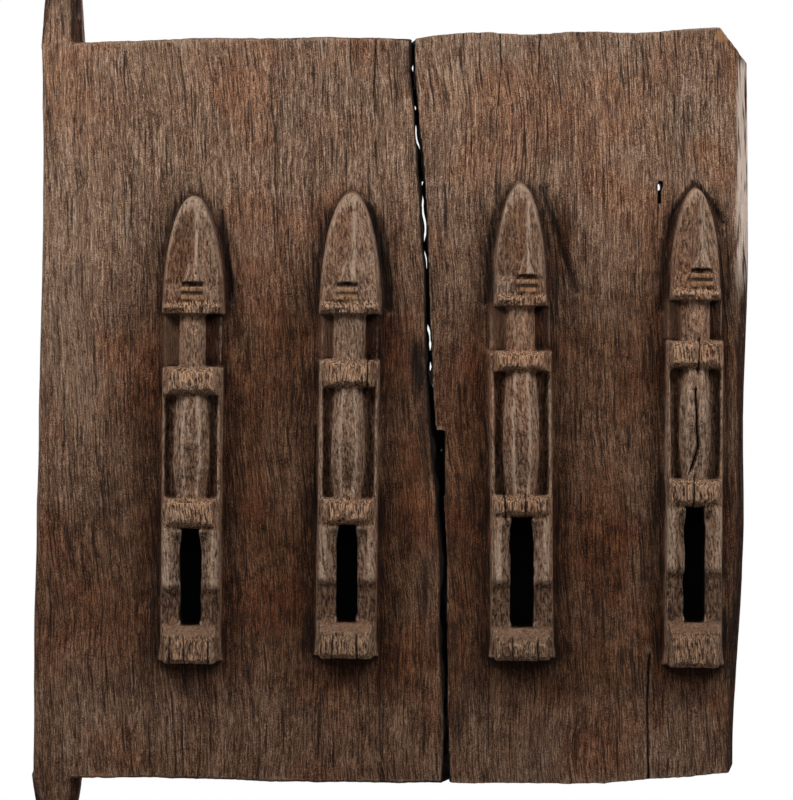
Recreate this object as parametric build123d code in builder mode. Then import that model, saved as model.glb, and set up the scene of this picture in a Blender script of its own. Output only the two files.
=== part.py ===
from build123d import *
import os
from types import SimpleNamespace

# Carved granary door: a leaf of two hewn planks that turns on two pivots grown from its left edge.
# Millimetres. +Z is up, the carved face looks along -Y, and the pivots turn about the Z axis.
# The origin is the middle of the lower pivot's round journal.

# Planks
PLANK_THICKNESS = 28.0
LEFT_PLANK_WIDTH = 273.0
RIGHT_PLANK_WIDTH = 217.3
PIVOT_SIDE_HEIGHT = 516.5
SPLIT_SIDE_HEIGHT = 521.4
FREE_SIDE_HEIGHT = 531.0
EDGE_TO_AXIS = 15.4
PIVOT_EDGE_LEAN = 2.0
FREE_EDGE_LEAN = 6.2
BOTTOM_RISE = 8.0
EDGE_WAVE = 2.5
ARRIS = 1.6
FREE_EDGE_BEVEL = 6.5
FREE_EDGE_BEVEL_DEPTH = 8.0
TOP_CORNER_LOSS = 20.0
TOP_CORNER_DROP = 24.5
BOTTOM_CORNER_LOSS = 3.0
BOTTOM_CORNER_RISE = 6.0

# Open split between the planks: wide at the face, narrow at the back, running aslant in its lower half
SPLIT_GAP = 3.2
SPLIT_BACK_GAP = 0.9
SPLIT_SLANT = 4.5
SPLIT_LEAN = 25.5
SPLIT_WAVE = 6.0
SPLINTER_WIDTH = 7.5
SPLINTER_LENGTH = 46.0
SPLINTER_DEPTH = 16.0
SPLINTER_TOP = 247.0

# Pivots
UPPER_ROOT_WIDTH = 29.8
UPPER_ROOT_LENGTH = 36.0
UPPER_JOURNAL_RADIUS = 12.5
UPPER_JOURNAL_LENGTH = 36.0
LOWER_ROOT_WIDTH = 35.0
LOWER_ROOT_LENGTH = 24.0
LOWER_JOURNAL_RADIUS = 13.5
LOWER_JOURNAL_LENGTH = 30.0
JOURNAL_END_CHAMFER = 4.0
ROOT_SMALL_CHAMFER = 3.0
ROOT_LARGE_CHAMFER = 9.0

# Figures: heights of their forms, from the feet up
FIGURE_BASE = 86.0
FOOT_FRONT_HEIGHT = 17.5
FOOT_TOP_RISE = 8.0
SHIN_LENGTH = 33.0
THIGH_LENGTH = 40.5
HIP_HEIGHT = 19.5
TORSO_LENGTH = 76.5
SHOULDER_HEIGHT = 19.5
NECK_LENGTH = 31.0
HEAD_HEIGHT = 81.5
KNEE_SLOPE = 6.0
JAW_HEIGHT = 9.0
LIP_HEIGHT = 10.0
MOUTH_SLIT = 1.6
NOSE_GAP = 2.0
NOSE_LENGTH = 36.0

# Figures: widths of their forms
BAR_WIDTH = 44.5
BASE_WIDTH = 47.0
BASE_FLARE = 14.0
RECESS_WIDTH = 36.0
FOOT_WIDTH = 36.0
LEG_SPREAD = 38.5
LEG_CHAMFER = 3.0
SLOT_WIDTH = 15.5
HIP_WIDTH = 37.5
TORSO_WIDTH = 24.0
WAIST_WIDTH = 19.0
CHEST_WIDTH = 19.5
SHOULDER_WIDTH = 39.0
NECK_WIDTH = 19.5
NECK_PAD_WIDTH = 40.0
HEAD_WIDTH = 41.5
JAW_INSET = 1.5
NOSE_WIDTH = 13.0
NOSE_BRIDGE_WIDTH = 4.0
MOUTH_WIDTH = 15.0

# Figures: how far their forms stand out from the plank's face
BAR_RELIEF = 13.0
BAR_DRAFT_ANGLE = 7.0
CHANNEL_RELIEF = 8.0
NECK_PAD_RELIEF = 3.5
FOOT_RELIEF = 23.0
FOOT_BACK_RELIEF = 15.0
SHIN_RELIEF = 15.0
KNEE_RELIEF = 17.5
THIGH_RELIEF = 20.0
BAND_RELIEF = 23.5
BAND_DRAFT_ANGLE = 3.0
BAND_CHAMFER = 3.0
TORSO_RELIEF = 20.5
WAIST_RELIEF = 17.0
CHEST_RELIEF = 18.5
NECK_RELIEF = 16.0
NECK_CHAMFER = 5.0
HEAD_RIDGE_RELIEF = 23.0
HEAD_SIDE_RELIEF = 17.0
HEAD_TIP_RELIEF = 15.0
HEAD_DRAFT_INSET = 5.5
NOSE_RISE = 3.0
JAW_RELIEF = 22.0
LIP_RELIEF = 22.5
MOUTH_DEPTH = 2.5
SLOT_DEPTH = 8.0
ROOT = 4.0

# Staples
STAPLE_SPAN = 52.0
STAPLE_WIDTH = 9.0
STAPLE_THICKNESS = 4.5
STAPLE_BEND_RADIUS = 3.5
STAPLE_LEG_LENGTH = 19.0
STAPLE_LEG_DEPTH = 4.0
STAPLE_LEG_WIDTH = 7.5
STAPLE_LEG_TAPER = 4.0
STAPLE_CLEARANCE = 0.1

# Waves of the hewn edges, going round each plank with its face towards the viewer,
# positive outwards, at evenly spaced places
left_bottom_wave_shares = (-0.55, -0.6, 0.0, 0.15)
left_top_wave_shares = (0.5, 0.65, 0.6, 0.15)
pivot_edge_wave_shares = (-0.95, -1.05, -0.75, -0.2, 0.05)
right_bottom_wave_shares = (0.9, 1.45, 0.85)
free_edge_wave_shares = (0.55, 1.6, 0.75, 1.1, 0.5)
right_top_wave_shares = (-0.45, -0.75, -0.1, 0.35, -0.1, 1.0, 1.1)

# Course and opening of the split, from the bottom to the top
split_wave_shares = (0.0, 0.5, 0.48, 0.92, 0.67, 0.38, 0.38, 0.38, 0.33, 0.0, 0.0)
split_gap_shares = (1.9, 0.9, 1.5, 1.25, 1.3, 1.0, 0.9, 1.0, 1.1, 0.85, 0.7)
split_slant_shares = (1.0, 1.0, 1.0, 1.0, 1.0, 0.7, 0.1, 0.0, 0.0, 0.0, 0.0)

# Where the figures stand across their plank, and how each one, from left to right,
# departs from the common sizes
figure_place_shares = (0.4007, 0.7985, 0.2977, 0.8477)
lean_shares = (0.0, 0.004, -0.012, -0.003)
base_shares = (0.973, 1.024, 1.019, 0.973)
foot_shares = (1.0, 0.93, 0.8, 1.29)
shin_shares = (0.87, 0.95, 1.03, 1.16)
thigh_shares = (0.97, 0.91, 1.07, 1.05)
hip_shares = (1.14, 1.0, 0.82, 1.03)
torso_shares = (0.92, 0.99, 1.11, 0.99)
shoulder_shares = (1.07, 1.07, 0.82, 1.07)
neck_shares = (1.17, 1.0, 0.97, 0.88)
head_shares = (1.04, 1.07, 1.08, 0.99)
head_width_shares = (1.13, 1.12, 1.0, 0.95)
ridge_shift_shares = (0.065, 0.06, 0.135, 0.1)
mouth_shift_shares = (0.0, -0.045, 0.1, 0.09)
neck_width_shares = (0.91, 1.13, 1.0, 1.0)
body_width_shares = (1.0, 1.0, 1.04, 0.95)
hip_width_shares = (1.01, 1.04, 1.13, 1.03)
shoulder_width_shares = (0.94, 0.89, 0.95, 1.03)
torso_width_shares = (1.03, 0.95, 1.04, 0.9)
slot_width_shares = (0.97, 0.97, 1.1, 1.0)

# Places up the torso where it is widest, and how much of its width and relief each slanting side takes
torso_swell_shares = (0.3, 0.62)
torso_flank_width_share = 0.25
torso_flank_relief_share = 0.33

# Heights of the staples up the split
staple_height_shares = (0.82, 0.49, 0.16)
staple_names = ("upper_staple", "middle_staple", "lower_staple")

SHOULDER_Z = LOWER_JOURNAL_LENGTH / 2 + LOWER_ROOT_LENGTH
TOP_Z = SHOULDER_Z + PIVOT_SIDE_HEIGHT
SPLIT_X = LEFT_PLANK_WIDTH - EDGE_TO_AXIS
FREE_EDGE_X = SPLIT_X + SPLIT_GAP + RIGHT_PLANK_WIDTH
BACK_Y = PLANK_THICKNESS / 2


def hewn_edge(start, end, wave_shares):
    """Points from start to end, pushed sideways at even steps by the shares of the edge's wave."""
    run = Vector(*end) - Vector(*start)
    outwards = Vector(run.Y, -run.X).normalized()
    steps = len(wave_shares) + 1
    waves = [0, *wave_shares, 0]
    return [
        Vector(*start) + run * (i / steps) + outwards * (EDGE_WAVE * wave)
        for i, wave in enumerate(waves)
    ]


def split_edges():
    """Points up the split: its left and right side at the face, then the same at the back."""
    edges = ([], [], [], [])
    steps = len(split_wave_shares) - 1
    courses = zip(split_wave_shares, split_gap_shares, split_slant_shares)
    for i, (wave, opening, slant) in enumerate(courses):
        up = i / steps
        height = SHOULDER_Z + SPLIT_SIDE_HEIGHT * up
        face_left = SPLIT_X + SPLIT_LEAN * (0.5 - up) + SPLIT_WAVE * wave
        face_right = face_left + SPLIT_GAP * opening
        back_left = (face_left + face_right - SPLIT_BACK_GAP) / 2 + SPLIT_SLANT * slant
        back_right = back_left + SPLIT_BACK_GAP
        for edge, across in zip(edges, (face_left, face_right, back_left, back_right)):
            edge.append(Vector(across, height))
    return edges


def figure_sizes(i, plank_left, plank_width):
    """The levels and widths of figure i, measured from its own base."""
    base = SHOULDER_Z + FIGURE_BASE * base_shares[i]
    place = plank_left + plank_width * figure_place_shares[i]
    f = SimpleNamespace()
    f.stand = Plane(
        origin=(place, -PLANK_THICKNESS / 2, base),
        x_dir=(1, 0, -lean_shares[i]),
        z_dir=(0, -1, 0),
    )
    f.foot_front = FOOT_FRONT_HEIGHT * foot_shares[i]
    f.foot_top = f.foot_front + FOOT_TOP_RISE
    f.knee = f.foot_top + SHIN_LENGTH * shin_shares[i]
    f.hip_bottom = f.knee + THIGH_LENGTH * thigh_shares[i]
    f.hip_top = f.hip_bottom + HIP_HEIGHT * hip_shares[i]
    f.shoulder_bottom = f.hip_top + TORSO_LENGTH * torso_shares[i]
    f.shoulder_top = f.shoulder_bottom + SHOULDER_HEIGHT * shoulder_shares[i]
    f.chin = f.shoulder_top + NECK_LENGTH * neck_shares[i]
    f.head_height = HEAD_HEIGHT * head_shares[i]
    f.head_width = HEAD_WIDTH * head_width_shares[i]
    f.ridge_shift = f.head_width * ridge_shift_shares[i]
    f.mouth_shift = f.head_width * mouth_shift_shares[i]
    f.neck_width = NECK_WIDTH * neck_width_shares[i]
    f.body_share = body_width_shares[i]
    f.hip_width = HIP_WIDTH * hip_width_shares[i]
    f.shoulder_width = SHOULDER_WIDTH * shoulder_width_shares[i]
    f.torso_share = torso_width_shares[i]
    f.slot_width = SLOT_WIDTH * slot_width_shares[i]
    return f


def level(f, height):
    """Plane across the figure at a height, its y axis pointing out of the plank's face."""
    origin = f.stand.from_local_coords((0, height, 0))
    return Plane(origin=origin, x_dir=f.stand.x_dir, z_dir=-f.stand.y_dir)


def faceted_section(plane, width, relief, chamfer_width, chamfer_relief):
    """Section of a body part with a flat front and two slanting sides."""
    half = width / 2
    flat = half - chamfer_width
    side = relief - chamfer_relief
    outline = [
        (-half, -ROOT),
        (-half, side),
        (-flat, relief),
        (flat, relief),
        (half, side),
        (half, -ROOT),
    ]
    with BuildSketch(plane) as section:
        with BuildLine():
            Polyline(*outline, close=True)
        make_face()
    return section.sketch


def leg_section(plane, side, inner, outer, relief):
    """Section of one leg, square towards the slot and chamfered on its outer side."""
    outline = [
        (side * inner, -ROOT),
        (side * inner, relief),
        (side * (outer - LEG_CHAMFER), relief),
        (side * outer, relief - LEG_CHAMFER),
        (side * outer, -ROOT),
    ]
    with BuildSketch(plane) as section:
        with BuildLine():
            Polyline(*outline, close=True)
        make_face()
    return section.sketch


def ridge_section(plane, left, ridge, right, side_relief, ridge_relief):
    """Section with two slopes, from its left and its right side, that meet in a ridge."""
    outline = [
        (left, -ROOT),
        (left, side_relief),
        (ridge, ridge_relief),
        (right, side_relief),
        (right, -ROOT),
    ]
    with BuildSketch(plane) as section:
        with BuildLine():
            Polyline(*outline, close=True)
        make_face()
    return section.sketch


def carve_body_bar(f):
    """The bar that the body is carved from, flared at its base, with its hollows beside the torso."""
    half = BAR_WIDTH * f.body_share / 2
    flare = BASE_WIDTH * f.body_share / 2
    outline = [
        (-flare, 0),
        (flare, 0),
        (half, BASE_FLARE),
        (half, f.shoulder_top),
        (-half, f.shoulder_top),
        (-half, BASE_FLARE),
    ]
    with BuildPart() as bar:
        with BuildSketch(f.stand.offset(-ROOT)):
            with BuildLine():
                Polyline(*outline, close=True)
            make_face()
        extrude(amount=ROOT + BAR_RELIEF, taper=BAR_DRAFT_ANGLE)
        with BuildSketch(f.stand.offset(CHANNEL_RELIEF)):
            with Locations((0, (f.hip_top + f.shoulder_bottom) / 2)):
                Rectangle(RECESS_WIDTH * f.body_share, f.shoulder_bottom - f.hip_top + ROOT)
        extrude(amount=BAR_RELIEF, mode=Mode.SUBTRACT)
        with BuildSketch(f.stand.offset(-ROOT)):
            with Locations((0, (f.shoulder_top + f.chin) / 2)):
                Rectangle(NECK_PAD_WIDTH * f.body_share, f.chin - f.shoulder_top + 2 * ROOT)
        extrude(amount=ROOT + NECK_PAD_RELIEF)
    return bar.part


def carve_band(f, bottom, top, width, relief):
    """Proud block across the figure, at the jaw, the shoulders or the hips."""
    with BuildPart() as band:
        with BuildSketch(f.stand.offset(-ROOT)):
            with Locations((0, (bottom + top) / 2)):
                Rectangle(width, top - bottom)
        extrude(amount=ROOT + relief, taper=BAND_DRAFT_ANGLE)
        chamfer(band.faces().sort_by(Axis.Y)[0].edges(), BAND_CHAMFER)
    return band.part


def carve_head(f):
    """Bullet-shaped head with two facets that meet in a ridge and a wedge nose at the ridge's foot."""
    half = f.head_width / 2
    slopes = (-f.head_width, f.ridge_shift, f.head_width)
    fall = 2 * (HEAD_RIDGE_RELIEF - HEAD_SIDE_RELIEF)
    chin_level = level(f, f.chin - ROOT)
    tip_level = level(f, f.chin + f.head_height + ROOT)
    nose_bottom = f.chin + JAW_HEIGHT + LIP_HEIGHT + NOSE_GAP
    nose_apex = HEAD_RIDGE_RELIEF + NOSE_RISE
    nose = [f.mouth_shift + NOSE_WIDTH / 2 * side for side in (-1, 0, 1)]
    bridge = [f.mouth_shift + NOSE_BRIDGE_WIDTH / 2 * side for side in (-1, 0, 1)]
    with BuildPart() as head:
        for out, inset in ((-ROOT, 0), (HEAD_RIDGE_RELIEF, HEAD_DRAFT_INSET)):
            with BuildSketch(f.stand.offset(out)):
                with BuildLine():
                    crown = EllipticalCenterArc(
                        (0, f.chin), half - inset, f.head_height - inset, arc_size=180
                    )
                    Line(crown @ 1, crown @ 0)
                make_face()
        loft(ruled=True)
        chin_roof = ridge_section(chin_level, *slopes, HEAD_RIDGE_RELIEF - fall, HEAD_RIDGE_RELIEF)
        tip_roof = ridge_section(tip_level, *slopes, HEAD_TIP_RELIEF - fall, HEAD_TIP_RELIEF)
        loft([chin_roof, tip_roof], ruled=True, mode=Mode.INTERSECT)
        nose_base = ridge_section(
            level(f, nose_bottom), *nose, nose_apex - NOSE_WIDTH / 2, nose_apex
        )
        nose_bridge = ridge_section(
            level(f, nose_bottom + NOSE_LENGTH),
            *bridge,
            HEAD_TIP_RELIEF - NOSE_BRIDGE_WIDTH / 2,
            HEAD_TIP_RELIEF,
        )
        loft([nose_base, nose_bridge], ruled=True)
    return head.part


def carve_mouth(f):
    """Block of the lips on top of the jaw, parted by a slit."""
    bottom = f.chin + JAW_HEIGHT
    with BuildPart() as mouth:
        with BuildSketch(f.stand):
            with Locations((f.mouth_shift, bottom + LIP_HEIGHT / 2)):
                Rectangle(MOUTH_WIDTH, LIP_HEIGHT)
        extrude(amount=LIP_RELIEF)
        with BuildSketch(f.stand.offset(LIP_RELIEF - MOUTH_DEPTH)):
            with Locations((f.mouth_shift, bottom + LIP_HEIGHT / 2)):
                Rectangle(MOUTH_WIDTH, MOUTH_SLIT)
        extrude(amount=MOUTH_DEPTH, mode=Mode.SUBTRACT)
    return mouth.part


def carve_torso(f):
    """Torso that swells between waist and chest, with a flat front and slanting sides."""
    length = f.shoulder_bottom - f.hip_top
    low_swell, high_swell = [f.hip_top + length * share for share in torso_swell_shares]
    stations = (
        (f.hip_top - ROOT, WAIST_WIDTH, WAIST_RELIEF),
        (low_swell, TORSO_WIDTH, TORSO_RELIEF),
        (high_swell, TORSO_WIDTH, TORSO_RELIEF),
        (f.shoulder_bottom + ROOT, CHEST_WIDTH, CHEST_RELIEF),
    )
    sections = []
    for height, width, relief in stations:
        across = width * f.torso_share
        flank_width = across * torso_flank_width_share
        flank_relief = relief * torso_flank_relief_share
        sections.append(faceted_section(level(f, height), across, relief, flank_width, flank_relief))
    with BuildPart() as torso:
        loft(sections, ruled=True)
    return torso.part


def carve_neck(f):
    """Neck post between the shoulders and the chin."""
    sections = [
        faceted_section(level(f, end), f.neck_width, NECK_RELIEF, NECK_CHAMFER, NECK_CHAMFER)
        for end in (f.shoulder_top - ROOT, f.chin + ROOT)
    ]
    with BuildPart() as neck:
        loft(sections, ruled=True)
    return neck.part


def carve_leg(f, side):
    """Proud thigh that slopes off at the knee to the lower shin."""
    inner = f.slot_width / 2
    outer = LEG_SPREAD * f.body_share / 2
    stations = (
        (f.hip_bottom + ROOT, THIGH_RELIEF),
        (f.knee, KNEE_RELIEF),
        (f.knee - KNEE_SLOPE, SHIN_RELIEF),
        (f.foot_front, SHIN_RELIEF),
    )
    sections = [
        leg_section(level(f, height), side, inner, outer, relief) for height, relief in stations
    ]
    with BuildPart() as leg:
        loft(sections, ruled=True)
    return leg.part


def carve_feet(f):
    """Block of the two feet, upright in front and sloping up to the shins."""
    half = FOOT_WIDTH * f.body_share / 2
    side = Plane(origin=f.stand.origin, x_dir=f.stand.y_dir, z_dir=f.stand.x_dir)
    outline = [
        (0, -ROOT),
        (0, FOOT_RELIEF),
        (f.foot_front, FOOT_RELIEF),
        (f.foot_top, FOOT_BACK_RELIEF),
        (f.foot_top, -ROOT),
    ]
    with BuildPart() as feet:
        with BuildSketch(side):
            with BuildLine():
                Polyline(*outline, close=True)
            make_face()
        extrude(amount=half, both=True)
        chamfer(feet.faces().sort_by(Axis.Y)[0].edges(), BAND_CHAMFER)
    return feet.part


def carve_figure(f):
    """One standing figure, fused from the forms it is carved in."""
    jaw_width = f.head_width - 2 * JAW_INSET
    with BuildPart() as figure:
        add(carve_body_bar(f))
        add(carve_torso(f))
        add(carve_neck(f))
        add(carve_leg(f, -1))
        add(carve_leg(f, 1))
        add(carve_band(f, f.hip_bottom, f.hip_top, f.hip_width, BAND_RELIEF))
        add(carve_band(f, f.shoulder_bottom, f.shoulder_top, f.shoulder_width, BAND_RELIEF))
        add(carve_feet(f))
        add(carve_head(f))
        add(carve_band(f, f.chin, f.chin + JAW_HEIGHT, jaw_width, JAW_RELIEF))
        add(carve_mouth(f))
    return figure.part


def leg_slot(f):
    """Blind slot between the legs, cut on into the plank."""
    with BuildPart() as slot:
        with BuildSketch(f.stand.offset(-SLOT_DEPTH)):
            with Locations((0, (f.foot_top + f.hip_bottom) / 2)):
                Rectangle(f.slot_width, f.hip_bottom - f.foot_top)
        extrude(amount=SLOT_DEPTH + BAND_RELIEF)
    return slot.part


def root_section(height, width, depth, left_chamfer, right_chamfer):
    """Eight-sided section of a hewn pivot, its two front corners cut back unequally."""
    x = width / 2
    y = depth / 2
    outline = [
        (-x, -y + left_chamfer),
        (-x + left_chamfer, -y),
        (x - right_chamfer, -y),
        (x, -y + right_chamfer),
        (x, y - left_chamfer),
        (x - left_chamfer, y),
        (-x + left_chamfer, y),
        (-x, y - left_chamfer),
    ]
    with BuildSketch(Plane.XY.offset(height)) as section:
        with BuildLine():
            Polyline(*outline, close=True)
        make_face()
    return section.sketch


def hewn_pivot(direction, shoulder, root_width, root_length, radius, journal_length):
    """Pivot that runs from an eight-sided root at the plank's shoulder to a round journal."""
    corner = radius * (2 - 2**0.5)
    root_end = shoulder + direction * root_length
    with BuildPart() as pivot:
        with BuildSketch(Plane.XY.offset(root_end)):
            Circle(radius)
        extrude(amount=direction * journal_length)
        end = pivot.faces().sort_by(Axis.Z)[-1 if direction > 0 else 0]
        chamfer(end.edges(), JOURNAL_END_CHAMFER)
        wide = root_section(
            shoulder - direction * ROOT,
            root_width,
            PLANK_THICKNESS,
            ROOT_SMALL_CHAMFER,
            ROOT_LARGE_CHAMFER,
        )
        narrow = root_section(root_end, 2 * radius, 2 * radius, corner, corner)
        loft([wide, narrow], ruled=True)
    return pivot.part


def staple_leg(x, z, clearance):
    """Tapered leg of a staple, with its point towards the plank's face, or the hole that takes it."""
    with BuildPart() as leg:
        with BuildSketch(Plane.XZ.offset(-BACK_Y)):
            with Locations((x, z)):
                Rectangle(STAPLE_LEG_DEPTH + 2 * clearance, STAPLE_LEG_WIDTH + 2 * clearance)
        extrude(amount=STAPLE_LEG_LENGTH + clearance, taper=STAPLE_LEG_TAPER)
    return leg.part


def staple_place(share):
    """Middle of a staple: on the split at a share of its height."""
    z = SHOULDER_Z + SPLIT_SIDE_HEIGHT * share
    return SPLIT_X + SPLIT_LEAN * (0.5 - share) + SPLIT_WAVE / 2, z


left_figures = [figure_sizes(i, -EDGE_TO_AXIS, LEFT_PLANK_WIDTH) for i in (0, 1)]
right_figures = [figure_sizes(i, SPLIT_X + SPLIT_GAP, RIGHT_PLANK_WIDTH) for i in (2, 3)]
staple_places = [staple_place(share) for share in staple_height_shares]

left_split, right_split, left_split_back, right_split_back = split_edges()
face = Plane.XZ.offset(PLANK_THICKNESS / 2)
back = Plane.XZ.offset(-PLANK_THICKNESS / 2)

upper_pivot = hewn_pivot(
    1,
    TOP_Z,
    UPPER_ROOT_WIDTH,
    UPPER_ROOT_LENGTH,
    UPPER_JOURNAL_RADIUS,
    UPPER_JOURNAL_LENGTH,
)
lower_pivot = hewn_pivot(
    -1,
    SHOULDER_Z,
    LOWER_ROOT_WIDTH,
    LOWER_ROOT_LENGTH,
    LOWER_JOURNAL_RADIUS,
    LOWER_JOURNAL_LENGTH,
)

# Left plank, with its two figures and both pivots
pivot_bottom = Vector(-EDGE_TO_AXIS - PIVOT_EDGE_LEAN / 2, SHOULDER_Z)
pivot_top = Vector(-EDGE_TO_AXIS + PIVOT_EDGE_LEAN / 2, TOP_Z)
with BuildPart() as left_plank:
    for side, split_side in ((face, left_split), (back, left_split_back)):
        with BuildSketch(side):
            with BuildLine():
                Spline(*hewn_edge(pivot_bottom, split_side[0], left_bottom_wave_shares))
                Spline(*split_side)
                Spline(*hewn_edge(split_side[-1], pivot_top, left_top_wave_shares))
                Spline(*hewn_edge(pivot_top, pivot_bottom, pivot_edge_wave_shares))
            make_face()
    loft(ruled=True)
    face_edges = left_plank.faces().sort_by(Axis.Y)[0].edges()
    chamfer(face_edges, ARRIS)
    add(upper_pivot)
    add(lower_pivot)
    for sizes in left_figures:
        add(carve_figure(sizes))
        add(leg_slot(sizes), mode=Mode.SUBTRACT)
    for x, z in staple_places:
        add(staple_leg(x - STAPLE_SPAN / 2, z, STAPLE_CLEARANCE), mode=Mode.SUBTRACT)
left_plank.part.label = "left_plank"

# Right plank, with its two figures, its bevelled free edge, its knocked-off top corner
# and the place beside the split where a splinter is lost
free_bottom = Vector(FREE_EDGE_X - FREE_EDGE_LEAN / 2, SHOULDER_Z + BOTTOM_RISE + BOTTOM_CORNER_RISE)
free_top = Vector(FREE_EDGE_X + FREE_EDGE_LEAN / 2, SHOULDER_Z + FREE_SIDE_HEIGHT - TOP_CORNER_DROP)
corner_bottom = Vector(free_bottom.X - BOTTOM_CORNER_LOSS, SHOULDER_Z + BOTTOM_RISE)
corner_top = Vector(free_top.X - TOP_CORNER_LOSS, SHOULDER_Z + FREE_SIDE_HEIGHT)
splinter_top = Vector(right_split[len(right_split) // 2].X, SHOULDER_Z + SPLINTER_TOP)
with BuildPart() as right_plank:
    for side, split_side in ((face, right_split), (back, right_split_back)):
        with BuildSketch(side):
            with BuildLine():
                Spline(*hewn_edge(split_side[0], corner_bottom, right_bottom_wave_shares))
                Line(corner_bottom, free_bottom)
                Spline(*hewn_edge(free_bottom, free_top, free_edge_wave_shares))
                Line(free_top, corner_top)
                Spline(*hewn_edge(corner_top, split_side[-1], right_top_wave_shares))
                Spline(*reversed(split_side))
            make_face()
    loft(ruled=True)
    face_edges = right_plank.faces().sort_by(Axis.Y)[0].edges().sort_by(Axis.X)
    chamfer(face_edges[-1], FREE_EDGE_BEVEL, FREE_EDGE_BEVEL_DEPTH)
    with BuildSketch(face):
        with BuildLine():
            Polyline(
                splinter_top - Vector(SPLIT_WAVE, 0),
                splinter_top + Vector(SPLINTER_WIDTH, 0),
                splinter_top + Vector(SPLINTER_WIDTH, -SPLINTER_LENGTH),
                splinter_top - Vector(SPLIT_WAVE, SPLINTER_LENGTH),
                close=True,
            )
        make_face()
    extrude(amount=-SPLINTER_DEPTH, mode=Mode.SUBTRACT)
    for sizes in right_figures:
        add(carve_figure(sizes))
        add(leg_slot(sizes), mode=Mode.SUBTRACT)
    for x, z in staple_places:
        add(staple_leg(x + STAPLE_SPAN / 2, z, STAPLE_CLEARANCE), mode=Mode.SUBTRACT)
right_plank.part.label = "right_plank"

os.makedirs("parts", exist_ok=True)
export_step(left_plank.part, "parts/left_plank.step")
export_step(right_plank.part, "parts/right_plank.step")

# Forged staples across the split, seated on the back of both planks
for name, (x, z) in zip(staple_names, staple_places):
    with BuildPart() as staple:
        with BuildSketch(Plane.XZ.offset(-BACK_Y)):
            with Locations((x, z)):
                Rectangle(STAPLE_SPAN + STAPLE_LEG_DEPTH, STAPLE_WIDTH)
        extrude(amount=-STAPLE_THICKNESS)
        crown_edges = staple.faces().sort_by(Axis.Y)[-1].edges()
        fillet(crown_edges.filter_by(Axis.Z), STAPLE_BEND_RADIUS)
        add(staple_leg(x - STAPLE_SPAN / 2, z, 0))
        add(staple_leg(x + STAPLE_SPAN / 2, z, 0))
    staple.part.label = name
    export_step(staple.part, f"parts/{name}.step")
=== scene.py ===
from math import radians

import bpy
import numpy as np
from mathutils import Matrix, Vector


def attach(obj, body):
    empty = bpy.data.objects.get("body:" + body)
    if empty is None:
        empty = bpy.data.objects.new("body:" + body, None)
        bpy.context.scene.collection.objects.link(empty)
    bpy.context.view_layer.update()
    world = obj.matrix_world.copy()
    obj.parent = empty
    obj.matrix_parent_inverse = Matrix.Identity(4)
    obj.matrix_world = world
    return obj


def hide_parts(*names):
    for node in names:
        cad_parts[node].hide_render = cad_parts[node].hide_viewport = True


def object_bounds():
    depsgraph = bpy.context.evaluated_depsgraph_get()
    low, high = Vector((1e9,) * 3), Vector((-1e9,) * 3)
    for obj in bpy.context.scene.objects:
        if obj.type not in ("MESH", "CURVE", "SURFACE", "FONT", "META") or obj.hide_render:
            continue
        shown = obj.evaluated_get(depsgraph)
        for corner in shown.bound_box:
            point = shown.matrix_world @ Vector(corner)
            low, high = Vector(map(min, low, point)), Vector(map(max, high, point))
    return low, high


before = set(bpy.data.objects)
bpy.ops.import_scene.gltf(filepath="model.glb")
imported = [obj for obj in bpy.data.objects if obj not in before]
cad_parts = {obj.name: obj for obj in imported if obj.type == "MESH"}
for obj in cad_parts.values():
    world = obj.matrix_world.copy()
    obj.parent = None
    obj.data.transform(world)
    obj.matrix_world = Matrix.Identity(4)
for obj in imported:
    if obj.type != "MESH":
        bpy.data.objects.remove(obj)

cad_box = [list(corner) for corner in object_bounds()]
bpy.ops.object.select_all(action="DESELECT")


# The two planks of the leaf: one board of dense hardwood, hewn with an adze, that has since split
# along its grain. Two standing figures are cut from the face of each, and the left plank carries both
# pivots. The wood is weathered along its fibres, dark, worn pale on its edges, and painted with shade
# over its ground and in its hollows and with highlights on parts of the figures.
MM = 0.001
FACE = 14.0
VOXEL = 1.0
SMOOTHING_PASSES = 4
TRIANGLES_PER_PLANK = 196000
LEAF_FOOT = 39
LEAF_TOP = 566
SPLIT_FOOT = 273.3
SPLIT_LEAN = 0.0527
# On every head, above its chin: the chin's band, the two cuts of the mouth and the nose
CHIN_BAND = 9
LOWER_LIP = 14
UPPER_LIP = 20.2
NOSE_FOOT = 21
NOSE_LENGTH = 17

# Where each figure stands, its levels above its own base, and where its face sits beside its axis
figures = {
    "first": dict(
        axis=94.0, lean=0.0, base=122.7, foot_front=17.5, foot_top=25.5, knee=54.2, hip_bottom=93.5,
        hip_top=115.7, shoulder_bottom=186.1, shoulder_top=207.0, chin=243.3, tip=328.0,
        head_half=23.4, ridge=3.0, mouth=0.0, facet_darkness=1.0,
    ),
    "second": dict(
        axis=202.6, lean=0.004, base=127.1, foot_front=16.3, foot_top=24.3, knee=55.6, hip_bottom=92.5,
        hip_top=112.0, shoulder_bottom=187.7, shoulder_top=208.6, chin=239.6, tip=326.8,
        head_half=23.2, ridge=2.8, mouth=-2.1, facet_darkness=0.45,
    ),
    "third": dict(
        axis=325.5, lean=-0.012, base=126.6, foot_front=14.0, foot_top=22.0, knee=56.0, hip_bottom=99.3,
        hip_top=115.3, shoulder_bottom=200.2, shoulder_top=216.2, chin=246.3, tip=334.3,
        head_half=20.7, ridge=5.6, mouth=4.2, facet_darkness=1.0,
    ),
    "fourth": dict(
        axis=445.0, lean=-0.003, base=122.7, foot_front=22.6, foot_top=30.6, knee=68.9, hip_bottom=111.4,
        hip_top=131.5, shoulder_bottom=207.2, shoulder_top=228.1, chin=255.4, tip=336.1,
        head_half=19.7, ridge=3.9, mouth=3.5, facet_darkness=0.6,
    ),
}

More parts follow.
